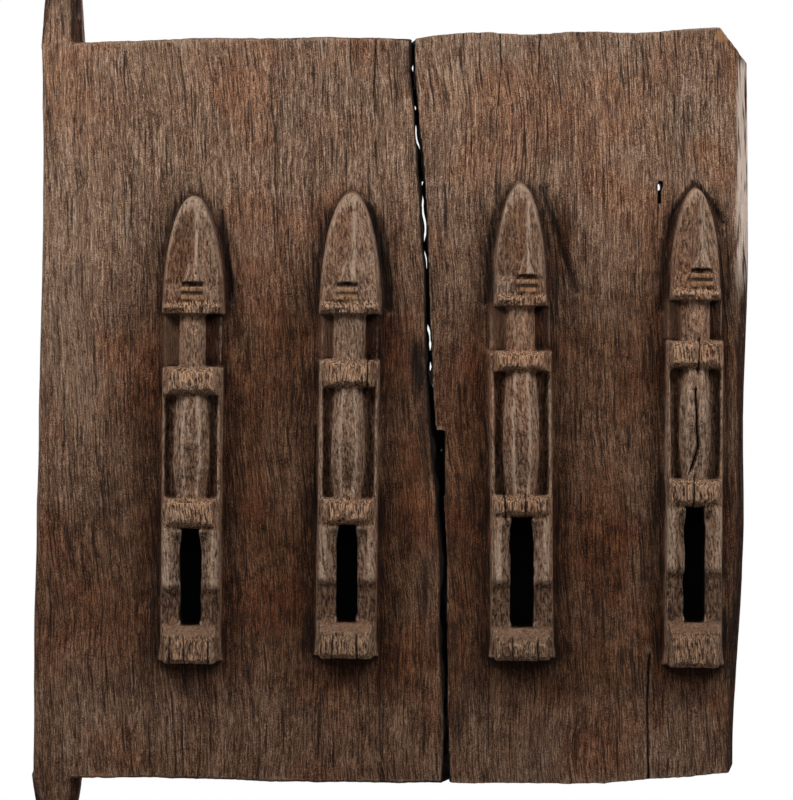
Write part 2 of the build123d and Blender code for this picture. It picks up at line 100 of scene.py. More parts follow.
# Cracks and checks along the grain: points across and up the face, width and depth
cracks = (
    (((180.4, 287), (180.0, 257), (181.0, 232)), 1.2, 1.0),
    (((415.4, 130), (413.5, 98), (415.4, 36)), 1.3, 1.6),
    (((202, 562), (203, 538)), 0.9, 0.0),
    (((220, 562), (219, 520)), 1.1, 0.8),
    (((281, 566), (282, 546)), 1.0, 0.8),
    (((293, 566), (292.5, 540)), 0.8, 0.0),
    (((307, 566), (308, 540), (306, 514)), 1.0, 0.8),
    (((335, 566), (334, 532)), 0.9, 0.0),
    (((389.5, 568), (390, 545)), 0.8, 0.0),
    (((419, 568), (419.5, 550)), 1.0, 0.8),
    (((444.2, 315.5), (445.1, 291), (445.9, 276), (440.5, 259)), 1.5, 3.0),
    (((446.5, 350), (445.5, 329)), 1.6, 1.5),
    (((443.5, 252), (443.2, 234)), 1.6, 1.5),
    (((312.0, 240), (313.2, 226)), 1.5, 1.5),
    (((326.6, 240), (326.8, 227)), 1.3, 1.2),
    (((216.5, 336), (216.0, 317)), 1.5, 1.2),
    (((80.5, 139), (80.2, 124)), 1.2, 1.0),
    (((90.0, 139), (90.4, 124)), 1.0, 0.8),
    (((107.0, 139), (107.0, 125)), 1.2, 1.0),
    (((193.5, 142), (193.0, 128)), 1.2, 1.0),
    (((210.0, 142), (210.4, 128)), 1.2, 1.0),
    (((318.5, 140), (318.8, 128)), 1.2, 1.0),
    (((336.0, 140), (336.0, 128)), 1.2, 1.0),
)

# Painted shadows beside the bodies and the split, and places where the brown skin is knocked or rubbed off:
# place across and up, half width, half height and strength
shadow_spots = (
    (137, 235, 24, 130, 1.1),
    (246, 240, 24, 150, 1.1),
    (289, 290, 20, 170, 1.15),
    (385, 215, 50, 140, 1.2),
    (352, 418, 15, 50, 0.9),
    (236, 415, 12, 45, 0.7),
)
bare_spots = (
    (463, 564, 9, 8, 1.0),
    (30, 41.5, 22, 2.5, 0.9),
    (70, 41.5, 18, 2.0, 0.8),
    (64, 92, 5, 8, 0.6),
    (373, 126, 20, 4, 0.5),
)

# Gouge cuts beside the heads: points, width and depth
gouges = (
    (((115, 432), (122, 412), (131, 385)), 1.6, 0.6),
    (((113.5, 437), (116, 410), (118.5, 376)), 3.2, 1.8),
    (((217.5, 441), (224, 415), (228.5, 386), (229, 372)), 3.6, 2.2),
    (((338.5, 456), (343.5, 439), (352, 414), (362, 384)), 3.4, 1.8),
    (((305, 440), (301, 410), (299.5, 376)), 2.6, 1.2),
    (((424, 414), (430, 440), (443.5, 460.5), (455, 448), (463.5, 433)), 2.6, 1.6),
    (((422.5, 420), (422, 395), (422.5, 372)), 2.6, 1.4),
)

# Worn hole through the right plank above the last figure: middle and size of its two cuts
through_hole = (
    ((419.9, 0, 459.0), (3.4, 60, 6.0)),
    ((419.4, -14, 452.5), (2.6, 22, 14.0)),
)


def noise(points, seed):
    """Smooth random values from -1 to 1 on a lattice one unit wide."""
    table = np.random.default_rng(seed).uniform(-1, 1, 4096)
    cell = np.floor(points).astype(np.int64)
    part = points - cell
    part = part * part * part * (part * (part * 6 - 15) + 10)
    total = np.zeros(len(points))
    for corner in np.ndindex(2, 2, 2):
        weight = np.ones(len(points))
        for axis in range(3):
            weight *= part[:, axis] if corner[axis] else 1 - part[:, axis]
        place = cell + np.array(corner)
        key = place[:, 0] * 7919 + place[:, 1] * 104729 + place[:, 2] * 1299709
        key = (key ^ (key >> 13)) * 60493
        total += weight * table[(key ^ (key >> 9)) & 4095]
    return total


def layered_noise(points, across, along, seed, layers=3):
    """Noise whose waves are longer up the grain than across it, with finer layers added."""
    total = np.zeros(len(points))
    stretched = points / np.array((across, across, along))
    for layer in range(layers):
        total += noise(stretched * 2**layer + 17.3 * layer, seed + layer) / 2**layer
    return total


def adze_scoops(x, z, width, length, seed):
    """Depth of overlapping shallow scoops, 0 at a scoop's middle and rising to the ridge beside it."""
    rng = np.random.default_rng(seed)
    shift = rng.uniform(-0.4, 0.4, (64, 64, 2))
    column = np.floor(x / width).astype(int)
    row = np.floor(z / length).astype(int)
    nearest = np.full(len(x), 9.0)
    for dc in (-1, 0, 1):
        for dr in (-1, 0, 1):
            c = column + dc
            r = row + dr
            jitter = shift[c % 64, r % 64]
            across = x / width - (c + 0.5 + jitter[:, 0])
            along = z / length - (r + 0.5 + jitter[:, 1])
            nearest = np.minimum(nearest, across**2 + along**2)
    return np.minimum(nearest, 1.0)


def step(low, high, value):
    """0 below low, 1 above high and a smooth rise between."""
    share = np.clip((value - low) / (high - low), 0, 1)
    return share * share * (3 - 2 * share)


def strongest(*masks):
    """The highest of several masks at each point."""
    return np.maximum.reduce(masks)


def course_offset(x, z, course):
    """How far each point is to one side of a course of straight stretches, and its distance from it."""
    nearest = np.full(len(x), 1e9)
    offset = np.zeros(len(x))
    for (x0, z0), (x1, z1) in zip(course, course[1:]):
        run = (x1 - x0) ** 2 + (z1 - z0) ** 2
        share = np.clip(((x - x0) * (x1 - x0) + (z - z0) * (z1 - z0)) / run, 0, 1)
        reach = np.hypot(x - x0 - share * (x1 - x0), z - z0 - share * (z1 - z0))
        side = ((x - x0) * (z1 - z0) - (z - z0) * (x1 - x0)) / np.sqrt(run)
        offset = np.where(reach < nearest, side, offset)
        nearest = np.minimum(nearest, reach)
    return offset, nearest


def mesh_points(mesh, field):
    """Vertex places or normals as an array."""
    values = np.empty(len(mesh.vertices) * 3, np.float32)
    source = mesh.vertices if field == "co" else mesh.vertex_normals
    source.foreach_get(field, values)
    return values.reshape(-1, 3).astype(float)


def smoothed(mesh, points, passes):
    """Points drawn towards the middle of their neighbours."""
    ends = np.empty(len(mesh.edges) * 2, np.int32)
    mesh.edges.foreach_get("vertices", ends)
    a, b = ends.reshape(-1, 2).T
    count = np.bincount(ends, minlength=len(points))
    for _ in range(passes):
        total = np.empty_like(points)
        for axis in range(3):
            total[:, axis] = np.bincount(a, points[b, axis], len(points))
            total[:, axis] += np.bincount(b, points[a, axis], len(points))
        points = 0.4 * points + 0.6 * total / count[:, None]
    return points


def plank_blank(node):
    """Copy of the plank's solid, merged, and remeshed evenly with its edges a little rounded."""
    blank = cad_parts[node].copy()
    blank.data = blank.data.copy()
    blank.name = f"carved_{node}"
    bpy.context.scene.collection.objects.link(blank)
    bpy.ops.object.select_all(action="DESELECT")
    blank.select_set(True)
    bpy.context.view_layer.objects.active = blank
    bpy.ops.object.mode_set(mode="EDIT")
    bpy.ops.mesh.select_all(action="SELECT")
    bpy.ops.mesh.remove_doubles(threshold=0.00001)
    bpy.ops.object.mode_set(mode="OBJECT")
    for place, size in through_hole if node == "right_plank" else ():
        bpy.ops.mesh.primitive_cube_add(size=MM, location=Vector(place) * MM, scale=size)
        punch = bpy.context.object
        bore = blank.modifiers.new("bore", "BOOLEAN")
        bore.object = punch
        bpy.context.view_layer.objects.active = blank
        bpy.ops.object.modifier_apply(modifier=bore.name)
        bpy.data.objects.remove(punch)
    remesh = blank.modifiers.new("even_faces", "REMESH")
    remesh.mode = "VOXEL"
    remesh.voxel_size = VOXEL * MM
    bpy.ops.object.modifier_apply(modifier=remesh.name)
    soften = blank.modifiers.new("soft_edges", "SMOOTH")
    soften.factor = 0.5
    soften.iterations = SMOOTHING_PASSES
    bpy.ops.object.modifier_apply(modifier=soften.name)
    return blank


def figure_place(f, x, z):
    """Height above a figure's base, and place across from its leaning axis."""
    up = z - f["base"]
    return up, x - f["axis"] - f["lean"] * up


def head_oval(f, up, across):
    """Share of the way from the middle of the chin to the head's outline."""
    return np.hypot(across / f["head_half"], np.clip(up - f["chin"], 0, None) / (f["tip"] - f["chin"]))


def nose_share(f, up):
    """Share of the way up the nose, from its foot."""
    return np.clip((up - f["chin"] - NOSE_FOOT) / NOSE_LENGTH, 0, 1)


def figure_carving(points, normals, seed):
    """How far the figures' surface stands out from, or lies behind, their plain solid forms."""
    x, y, z = points.T
    relief = -FACE - y
    facing = np.clip(-normals[:, 1], 0, 1)
    chips = layered_noise(points, 2.4, 9, seed + 51, 2)
    knocks = layered_noise(points, 5, 7, seed + 54, 2)
    lift = np.zeros(len(x))
    for f in figures.values():
        up, across = figure_place(f, x, z)
        out = np.abs(across)
        inside = step(27, 24, out) * step(-3, 1, up) * step(f["tip"] + 3, f["tip"] - 1, up)

        oval = head_oval(f, up, across)
        face = step(f["chin"] + 16, f["chin"] + 22, up) * step(6, 10, relief) * facing * inside
        lift -= 1.3 * face * step(0.93, 0.82, oval) * step(0.3, 2.0, np.abs(across - f["ridge"]))
        lift += 0.35 * face * knocks
        nose = nose_share(f, up)
        beside = np.abs(across - f["mouth"])
        wings = step(6.5 - 5.0 * nose, 5.0 - 5.0 * nose, beside) * step(0, 0.03, nose) * (1 - nose)
        lift += 1.8 * wings * inside * facing
        lip_line = step(1.9, 0.9, np.abs(up - f["chin"] - UPPER_LIP)) * step(8.4, 6.8, beside)
        lift -= 2.4 * lip_line * inside * facing

        chest = f["hip_top"] + 0.5 * (f["shoulder_bottom"] - f["hip_top"])
        belly = step(f["hip_top"], f["hip_top"] + 8, up) * step(chest + 3, chest - 3, up)
        belly *= step(9, 6, out) * step(13, 16, relief)
        lift -= 1.4 * inside * belly

        for bottom, top, round_off in (
            (-1, f["foot_front"] + 2, 0.8),
            (f["hip_bottom"] - 1, f["hip_top"] + 1, 1.6),
            (f["shoulder_bottom"] - 1, f["shoulder_top"] + 1, 1.6),
            (f["chin"] - 1, f["chin"] + CHIN_BAND + 1, 1.0),
        ):
            middle = (bottom + top) / 2
            band = step(bottom, bottom + 2, up) * step(top, top - 2, up) * step(15, 17.5, relief) * inside
            ends = step(13.5, 19.5, out)
            crown = ((up - middle) / (0.5 * (top - bottom))) ** 2
            lift += band * (0.7 * chips + 0.5 * knocks - round_off * (ends**2 + 0.8 * crown))

        leg = step(f["foot_top"], f["foot_top"] + 3, up) * step(f["hip_bottom"] + 1, f["hip_bottom"] - 1, up)
        inner_wall = leg * step(11, 9, out) * step(-7, -3, relief) * step(0.35, 0.7, np.abs(normals[:, 0]))
        sway = layered_noise(points * np.array((0.02, 0.02, 1)), 1, 13, seed + 57, 2)
        arch = step(f["hip_bottom"] - 16, f["hip_bottom"], up) + step(f["foot_top"] + 8, f["foot_top"], up)
        lift += inner_wall * (0.6 * sway + 1.4 * arch)
        knee = np.exp(-(((up - f["knee"]) / 4.5) ** 2)) * step(11, 14, relief) * inside * leg
        lift += 0.9 * knee * facing
        shin = step(f["knee"] - 2, f["knee"] - 8, up) * leg * step(9, 12, relief) * inside * facing
        lift -= 0.8 * shin
    return lift


def leg_slopes(points):
    """How far the front of the legs is cut back towards the slot between them."""
    x, y, z = points.T
    relief = -FACE - y
    back = np.zeros(len(x))
    for f in figures.values():
        up, across = figure_place(f, x, z)
        out = np.abs(across)
        leg = step(f["foot_top"] + 1, f["foot_top"] + 8, up)
        leg *= step(f["hip_bottom"] - 1, f["hip_bottom"] - 9, up)
        back += 0.4 * leg * step(15.5, 8, out) * np.clip(relief - 6, 0, None)
    return back


def split_course(z):
    """Place of the open split across the door at each height."""
    return SPLIT_FOOT - SPLIT_LEAN * (z - LEAF_FOOT)


def hew(plank, seed):
    """Pushes the plank's surface in and out by its tool marks, weathered grain, cracks and gouges."""
    mesh = plank.data
    points = mesh_points(mesh, "co") / MM
    normals = mesh_points(mesh, "vector")
    x, y, z = points.T
    relief = -FACE - y
    front = step(-6, -1, relief)
    raised = step(2, 5, relief)
    back = step(FACE - 3, FACE - 1, y)
    wander = 6 * layered_noise(points, 120, 200, seed + 40, 2)
    bent = points + np.stack((wander, 0 * x, 0 * x), axis=1)
    journal = step(LEAF_FOOT - 1, LEAF_FOOT - 9, z) + step(LEAF_TOP, LEAF_TOP + 9, z)
    calm = 1 - 0.85 * np.clip(journal, 0, 1)

    lift = 0.55 * layered_noise(points, 48, 80, seed, 2) * (1 - 0.6 * raised)
    lift += front * (1 - raised) * 1.1 * (adze_scoops(x, z, 30, 46, seed + 5) - 0.3)
    lift += back * 1.8 * (adze_scoops(x, z, 34, 58, seed + 9) - 0.3)
    lift += 0.30 * layered_noise(bent, 6.5, 90, seed + 12, 2)
    lift += 0.16 * layered_noise(bent, 2.6, 34, seed + 15, 1) * (1 - 0.5 * raised)
    lift += 0.25 * raised * layered_noise(points, 9, 14, seed + 18, 2)
    lift += figure_carving(points, normals, seed)
    moved = points + normals * (lift * calm)[:, None]
    moved[:, 1] += leg_slopes(points)

    ragged = layered_noise(points, 4, 14, seed + 21, 2)
    sink = np.zeros(len(x))
    for course, width, depth in cracks:
        _, reach = course_offset(x + 0.7 * ragged, z, course)
        sink = np.maximum(sink, depth * step(width, 0.2 * width, reach))
    for course, width, depth in gouges:
        _, reach = course_offset(x + 0.8 * ragged, z, course)
        sink = np.maximum(sink, (1 - raised) * depth * step(1.6 * width, 0, reach))
    moved[:, 1] += sink * front
    split_walls = step(0.4, 0.8, np.abs(normals[:, 0])) * step(9, 5, np.abs(x - split_course(z)))
    splinters = 2.0 * noise(np.stack((0 * x, y / 8, z / 13), axis=1), 5)
    slant = 3.0 * step(200, 215, z) * step(305, 290, z) * (y + FACE) / (2 * FACE)
    moved[:, 0] += split_walls * step(-1, -4, relief) * (splinters + slant)
    mesh.vertices.foreach_set("co", (moved * MM).ravel().astype(np.float32))
    mesh.update()


def thin_out(plank):
    """Takes faces out where the surface is flat, down to the number that a piece may have."""
    triangles = sum(len(face.vertices) - 2 for face in plank.data.polygons)
    bpy.ops.object.select_all(action="DESELECT")
    plank.select_set(True)
    bpy.context.view_layer.objects.active = plank
    thin = plank.modifiers.new("thin_out", "DECIMATE")
    thin.ratio = min(1.0, TRIANGLES_PER_PLANK / triangles)
    bpy.ops.object.modifier_apply(modifier=thin.name)
    bpy.ops.object.shade_smooth()


def store(mesh, name, values):
    """Keeps one value for each vertex under a name that the material reads."""
    layer = mesh.attributes.new(name, "FLOAT", "POINT")
    layer.data.foreach_set("value", values.astype(np.float32))


def soft_spots(x, z, spots):
    """Strongest of several soft-edged oval spots, each with its place, half sizes and strength."""
    spotted = np.zeros(len(x))
    for at_x, at_z, half_width, half_height, strength in spots:
        away = np.hypot((x - at_x) / half_width, (z - at_z) / half_height)
        spotted = np.maximum(spotted, strength * step(1.0, 0.2, away))
    return spotted


def blurred(grid, reach):
    """The grid with each cell averaged over the cells within reach, twice over for a soft edge."""
    for axis in (0, 1, 0, 1):
        rim = [(reach + 1, reach) if side == axis else (0, 0) for side in (0, 1)]
        sums = np.cumsum(np.pad(grid, rim, mode="edge"), axis=axis)
        count = grid.shape[axis]
        ahead = np.take(sums, range(2 * reach + 1, 2 * reach + 1 + count), axis=axis)
        behind = np.take(sums, range(count), axis=axis)
        grid = (ahead - behind) / (2 * reach + 1)
    return grid


def standing_proud(points, normals, reach):
    """How far the face stands out at each point from its own surroundings within reach."""
    x, y, z = points.T
    relief = np.clip(-FACE - y, -8, None)
    column = np.round(x - x.min()).astype(int)
    row = np.round(z - z.min()).astype(int)
    seen = normals[:, 1] < -0.2
    grid = np.full((column.max() + 1, row.max() + 1), -8.0)
    np.maximum.at(grid, (column[seen], row[seen]), relief[seen])
    grid[grid < -7.9] = 0.0
    return relief - blurred(grid, reach)[column, row]


def crack_marks(x, z, relief):
    """Place beside the nearest crack, distance from it and its width."""
    beside = np.zeros(len(x))
    nearest = np.full(len(x), 20.0)
    widths = np.ones(len(x))
    for course, width, _ in cracks:
        offset, reach = course_offset(x, z, course)
        nearer = (reach < nearest) & (relief > -8)
        beside[nearer] = offset[nearer]
        widths[nearer] = width
        nearest[nearer] = reach[nearer]
    return beside, nearest, widths


def figure_marks(points, normals):
    """Where the figures are rubbed pale, edged, dusty and chipped, where their faces are darkened, and where
    painted highlight and painted shade lie on them, in hollows, slots and cuts.
    """
    x, y, z = points.T
    relief = -FACE - y
    names = ("pale", "painted_shade", "face", "edges", "dust", "blocks", "slot_shade", "mouths", "cut_shade")
    marks = {name: np.zeros(len(x)) for name in names}

    def mark(name, *masks):
        marks[name] = strongest(marks[name], *masks)

    for f in figures.values():
        up, across = figure_place(f, x, z)
        out = np.abs(across)
        inside = step(26, 23, out)
        rubbed = inside * step(11, 15, relief)
        foot_front, foot_top, knee, chin = f["foot_front"], f["foot_top"], f["knee"], f["chin"]
        hip_bottom, hip_top = f["hip_bottom"], f["hip_top"]
        shoulder_bottom, shoulder_top = f["shoulder_bottom"], f["shoulder_top"]

        # Torso: pale on the chest and its two ridges, with painted shade at the belly and in the channels
        # beside it
        length = shoulder_bottom - hip_top
        torso = step(hip_top - 1, hip_top + 1, up) * step(shoulder_bottom + 1, shoulder_bottom - 1, up)
        chest = step(hip_top + 0.35 * length, hip_top + 0.6 * length, up)
        chest *= step(shoulder_bottom + 2, shoulder_bottom - 3, up) * (0.35 + 0.65 * step(3.5, 5.5, out))
        channel = torso * step(13.5, 10.5, relief) * step(19.5, 17.5, out) * step(2, 5, relief)
        belly = torso * step(hip_top + 0.58 * length, hip_top + 0.4 * length, up) * step(7, 4, out)
        belly *= step(hip_top, hip_top + 10, up)
        swell = np.sin(np.pi * np.clip((up - hip_top) / length, 0, 1))
        mark("pale", 0.85 * rubbed * chest)
        mark("painted_shade", 0.75 * channel, 0.75 * belly)
        mark("edges", 0.9 * torso * step(1.8, 0.5, np.abs(out - 4.2 - 1.8 * swell)) * step(14, 16, relief))

        # Legs: thighs rubbed pale, with painted highlight on their outer edges, painted shade on the shins
        # and inner sides, and slots painted black as shade
        thigh = step(knee - 4, knee + 4, up) * step(hip_bottom + 1, hip_bottom - 2, up)
        shin = step(knee + 1, knee - 3, up) * step(foot_top - 1, foot_top + 2, up) * step(9, 11, relief)
        inner_leg = step(foot_top + 2, foot_top + 8, up) * step(hip_bottom, hip_bottom - 3, up)
        open_leg = step(foot_top, foot_top + 2, up) * step(hip_bottom, hip_bottom - 2, up)
        mark("pale", rubbed * thigh)
        mark("edges", 0.8 * thigh * step(3.2, 1.2, np.abs(out - 17)) * step(10, 13, relief))
        mark("painted_shade", shin * inside, 0.8 * inner_leg * step(13.5, 9.5, out) * step(3, 6, relief))
        # Slots between the legs painted black, standing for their shade
        mark("slot_shade", step(8.6, 7.4, out) * open_leg * step(15.5, 9, relief) * step(-13, -11, relief))

        # Feet: darker in front, with dust lying on top
        foot = step(foot_front + 1, foot_front - 1, up) * step(-2, 0, up) * step(8, 12, relief)
        dusty = step(0.2, 0.5, normals[:, 2]) * step(foot_front - 3, foot_front, up)
        mark("painted_shade", 0.35 * foot * inside)
        mark("dust", inside * dusty * step(foot_top + 5, foot_top + 2, up))

        # Neck: rubbed in front, sunk beside it with painted shade in the hollows, darker on the right, and
        # dust in the left hollow
        neck = step(shoulder_top, shoulder_top + 2, up) * step(chin, chin - 2, up)
        hollow = step(shoulder_top, shoulder_top + 2, up) * step(chin + 2, chin, up)
        hollow *= step(9, 5, relief) * step(24, 20, out) * step(-5, -2, relief)
        mark("pale", 0.5 * rubbed * neck)
        mark("painted_shade", hollow * (0.5 + 0.35 * step(-1, 1, across)))
        mark("dust", 0.8 * hollow * step(1, -1, across))

        # Head: darkened facets with painted shade left of the ridge and a painted highlight right of it,
        # pale ridge, nose and rim, and a cut mouth with painted shade in its slits
        oval = head_oval(f, up, across)
        nose = nose_share(f, up)
        beside_ridge = across - f["ridge"]
        beside_mouth = np.abs(across - f["mouth"])
        brow = step(chin + 19, chin + 23, up) * step(7, 10, relief) * inside
        facet = brow * step(0.88, 0.80, oval)
        right_side = step(0.5, 2.5, beside_ridge)
        wing = step(1.6, 0.5, np.abs(beside_mouth - 5.5 + 5.0 * nose))
        wing *= step(1.0, 0.6, nose) * step(0, 0.03, nose)
        lips = step(chin + 7, chin + 9, up) * step(chin + 20, chin + 18, up)
        # Facet darkening, partly painted shade and strongest left of the ridge; the right facet is painted
        # pale as a highlight
        mark("face", f["facet_darkness"] * facet * (1 - 0.6 * right_side))
        mark("pale", facet * right_side)
        mark("edges", brow * step(0.95, 0.85, oval) * step(2.8, 0.8, np.abs(beside_ridge)))
        mark("edges", brow * wing, 0.8 * brow * step(0.84, 0.90, oval))
        mark("mouths", step(9, 7, beside_mouth) * lips * step(16, 19, relief))
        # Painted shade in the two mouth slits
        for level in (UPPER_LIP, LOWER_LIP):
            slit = step(1.9, 1.0, np.abs(up - chin - level)) * step(8.4, 6.8, beside_mouth)
            mark("cut_shade", slit * step(10, 14, relief))

        # Bands, chipped along the grain, the feet less so
        for bottom, top, share in (
            (0, foot_front, 0.7),
            (hip_bottom, hip_top, 1),
            (shoulder_bottom, shoulder_top, 1),
            (chin, chin + CHIN_BAND, 1),
        ):
            band = step(bottom - 1, bottom + 1, up) * step(top + 1, top - 1, up)
            mark("blocks", share * inside * band * step(15, 18, relief))
    return marks


def ground_shade_mark(points, seed):
    """Painted shade on the ground: most low down, least along the pivot side, with painted shadows beside
    the figures.
    """
    x, y, z = points.T
    low = step(130, 80, z)
    pivot_side = step(75, 20, x)
    ground_shade = 0.92 * step(480, 320, z) * (1 - 0.3 * low - 0.25 * low * step(260, 300, x))
    ground_shade *= 1 - 0.9 * pivot_side * step(200, 330, z) - 0.25 * pivot_side * step(330, 200, z)
    ground_shade *= 1 - 0.35 * step(455, 480, x)
    ground_shade = np.maximum(ground_shade, soft_spots(x, z, shadow_spots))
    ground_shade += 0.22 * layered_noise(points, 55, 90, seed + 31, 2) * step(0, 0.3, ground_shade)
    return np.clip(ground_shade, 0, 1.2)


def mark_surface(plank, seed):
    """Stores where the plank is worn, hollow, cracked, pale, split and bare, and where painted light and
    shade lie on it.
    """
    mesh = plank.data
    points = mesh_points(mesh, "co")
    normals = mesh_points(mesh, "vector")
    wear = np.einsum("ij,ij->i", normals, points - smoothed(mesh, points, 6)) / MM
    points = points / MM
    x, y, z = points.T
    relief = -FACE - y
    raised = step(3, 8, relief)
    front = step(-10, -7, relief)

    marks = figure_marks(points, normals)
    marks["wear"] = wear
    marks["raised"] = raised
    marks["near"] = front * standing_proud(points, normals, 4)
    marks["wide"] = front * standing_proud(points, normals, 11)
    marks["crack_offset"], marks["crack_reach"], marks["crack_width"] = crack_marks(x, z, relief)
    marks["bevel"] = step(472, 475, x) * step(375, 415, z) * step(552, 540, z) * step(-12, -9, relief)
    # Painted light: the face along the pivot side is painted paler, as if lit more strongly there
    pivot_strip = 0.35 * step(45, 15, x) * step(260, 330, z) * step(-2, -1, relief)
    marks["pale"] = strongest(marks["pale"], pivot_strip)
    # Painted shade on the walls of the split and in the gouges beside the heads
    walls = step(-0.2, -1.0, relief) * step(FACE - 0.5, FACE - 3, y)
    walls *= step(16, 9, np.abs(x - split_course(z)))
    marks["cut_shade"] = strongest(marks["cut_shade"], walls)
    ragged = layered_noise(points, 4, 14, seed + 21, 2)
    for course, width, depth in gouges:
        _, reach = course_offset(x + 0.8 * ragged, z, course)
        shade = min(0.85, 0.45 * depth) * step(0.75 * width, 0.15 * width, reach)
        marks["cut_shade"] = strongest(marks["cut_shade"], shade * step(6, 2, relief) * step(-9, -6, relief))
    marks["bare"] = strongest(0.6 * marks.pop("mouths"), soft_spots(x, z, bare_spots))
    marks["ground_shade"] = ground_shade_mark(points, seed) * (1 - 0.9 * raised) * (0.4 + 0.6 * front)
    for name, values in marks.items():
        store(mesh, name, values)


def placed(tree, kind, inputs=None, **settings):
    """Adds a shader node, sets its properties, and fills or links its inputs."""
    made = tree.nodes.new(kind)
    for name, value in settings.items():
        setattr(made, name, value)
    for key, value in (inputs or {}).items():
        if isinstance(value, bpy.types.NodeSocket):
            tree.links.new(value, made.inputs[key])
        else:
            made.inputs[key].default_value = value
    return made


def tone(red, green, blue):
    """A colour as a painter mixes it, 0 to 255, made ready for the shader."""
    shares = np.array((red, green, blue)) / 255
    linear = np.where(shares < 0.04045, shares / 12.92, ((shares + 0.055) / 1.055) ** 2.4)
    return (*linear.tolist(), 1.0)


def blended(tree, factor, under, over, blend="MIX"):
    """One colour laid over another by a factor."""
    mix = placed(
        tree,
        "ShaderNodeMix",
        {0: factor, 6: under, 7: over},
        data_type="RGBA",
        blend_type=blend,
        clamp_factor=True,
    )
    return mix.outputs[2]


def reckoned(tree, operation, first, second=0.0, clamp=False):
    """One sum on two values."""
    made = placed(tree, "ShaderNodeMath", {0: first, 1: second}, operation=operation, use_clamp=clamp)
    return made.outputs[0]


def between(tree, value, low, high):
    """A value's share of the way from low to high, smoothly, from 0 to 1."""
    ranged = placed(
        tree,
        "ShaderNodeMapRange",
        {"Value": value, "From Min": low, "From Max": high},
        interpolation_type="SMOOTHSTEP",
    )
    return ranged.outputs["Result"]


def stored(tree, name):
    """A value that the mesh keeps for each vertex."""
    return placed(tree, "ShaderNodeAttribute", attribute_name=name).outputs["Fac"]


def grain_group():
    """Fibres of one width and length, in millimetres, running up the plank."""
    group = bpy.data.node_groups.new("wood_fibres", "ShaderNodeTree")
    group.interface.new_socket("Place", in_out="INPUT", socket_type="NodeSocketVector")
    for name, value in (("Width", 2.0), ("Length", 20.0), ("Roughness", 0.6)):
        socket = group.interface.new_socket(name, in_out="INPUT", socket_type="NodeSocketFloat")
        socket.default_value = value
    group.interface.new_socket("Fibre", in_out="OUTPUT", socket_type="NodeSocketFloat")
    taken = group.nodes.new("NodeGroupInput").outputs
    size = placed(
        group, "ShaderNodeCombineXYZ", {"X": taken["Width"], "Y": taken["Width"], "Z": taken["Length"]}
    )
    place = placed(
        group, "ShaderNodeVectorMath", {0: taken["Place"], 1: size.outputs[0]}, operation="DIVIDE"
    )
    fibres = placed(
        group,
        "ShaderNodeTexNoise",
        {"Vector": place.outputs[0], "Scale": 1.0, "Detail": 2.0, "Roughness": taken["Roughness"]},
    )
    given = group.nodes.new("NodeGroupOutput")
    group.links.new(fibres.outputs["Fac"], given.inputs["Fibre"])
    return group


